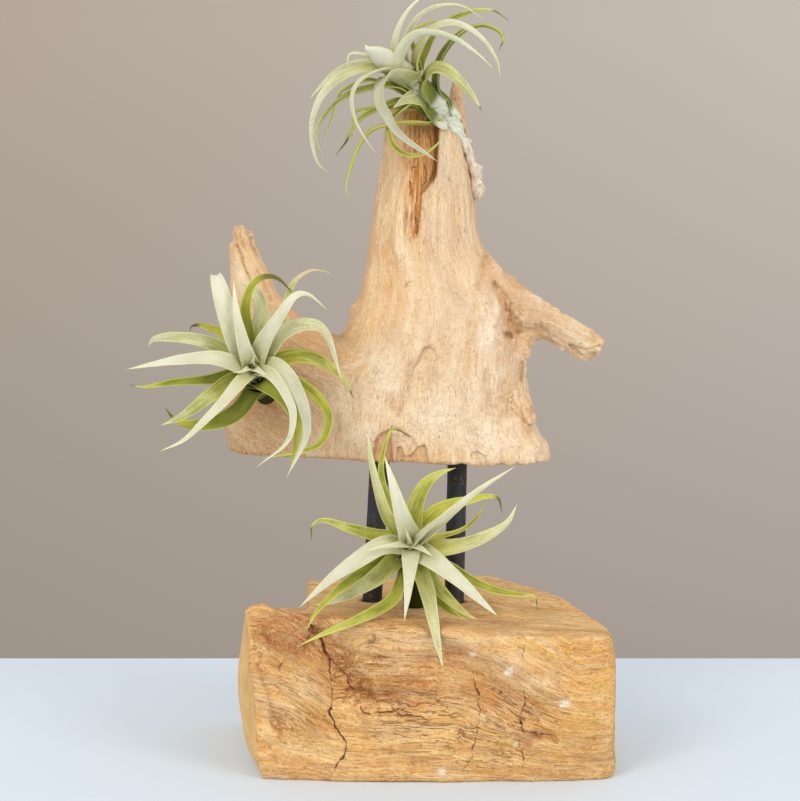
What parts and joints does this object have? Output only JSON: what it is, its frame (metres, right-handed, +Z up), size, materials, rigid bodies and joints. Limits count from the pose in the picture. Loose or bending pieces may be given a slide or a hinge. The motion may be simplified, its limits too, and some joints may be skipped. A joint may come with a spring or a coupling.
{
  "type": "air plant display",
  "caption": "Tabletop display of silvery air plant rosettes on a piece of driftwood that stands on iron posts over a sawn wooden block.",
  "frame": {"origin": "on the flat underside of the wooden block, below the middle of the block", "axes": "+Z up, +X to the right of a viewer who stands in front, -Y towards that viewer"},
  "size_m": [0.2375, 0.1295, 0.3792],
  "materials": {
    "sawn_wood": "raw sawn hardwood, dry, with cracks and brown grain",
    "driftwood": "weathered driftwood, dry and matt",
    "iron": "black paint, a little worn",
    "woolly_stem": "living stem with dry woolly sheaths, matt",
    "silver_leaf": "living leaf covered in silver scales, matt",
    "green_leaf": "living leaf, yellow green with thin silver scales, satin"
  },
  "bodies": {
    "root": {"base_block": "sawn_wood", "driftwood": "driftwood", "left_post": "iron", "right_post": "iron", "top_plant_stem": "woolly_stem", "left_plant_stem": "woolly_stem", "bottom_plant_stem": "woolly_stem", "top_leaf_01": "silver_leaf", "top_leaf_02": "silver_leaf", "top_leaf_03": "silver_leaf", "top_leaf_04": "green_leaf", "top_leaf_05": "green_leaf", "top_leaf_06": "green_leaf", "top_leaf_07": "green_leaf", "top_leaf_08": "silver_leaf", "top_leaf_09": "silver_leaf", "top_leaf_10": "silver_leaf", "top_leaf_11": "silver_leaf", "top_leaf_12": "green_leaf", "top_leaf_13": "silver_leaf", "top_leaf_14": "silver_leaf", "top_leaf_15": "green_leaf", "top_leaf_16": "green_leaf", "top_leaf_17": "green_leaf", "left_leaf_01": "silver_leaf", "left_leaf_02": "silver_leaf", "left_leaf_03": "silver_leaf", "left_leaf_04": "silver_leaf", "left_leaf_05": "silver_leaf", "left_leaf_06": "silver_leaf", "left_leaf_07": "silver_leaf", "left_leaf_08": "silver_leaf", "left_leaf_09": "silver_leaf", "left_leaf_10": "silver_leaf", "left_leaf_11": "green_leaf", "left_leaf_12": "green_leaf", "left_leaf_13": "green_leaf", "left_leaf_14": "silver_leaf", "left_leaf_15": "green_leaf", "left_leaf_16": "green_leaf", "left_leaf_17": "green_leaf", "left_leaf_18": "green_leaf", "bottom_leaf_01": "silver_leaf", "bottom_leaf_02": "silver_leaf", "bottom_leaf_03": "silver_leaf", "bottom_leaf_04": "silver_leaf", "bottom_leaf_05": "silver_leaf", "bottom_leaf_06": "silver_leaf", "bottom_leaf_07": "silver_leaf", "bottom_leaf_08": "silver_leaf", "bottom_leaf_09": "silver_leaf", "bottom_leaf_10": "green_leaf", "bottom_leaf_11": "green_leaf", "bottom_leaf_12": "silver_leaf", "bottom_leaf_13": "green_leaf", "bottom_leaf_14": "green_leaf", "bottom_leaf_15": "green_leaf", "bottom_leaf_16": "green_leaf", "bottom_leaf_17": "green_leaf", "bottom_leaf_18": "green_leaf"}
  },
  "joints": []
}
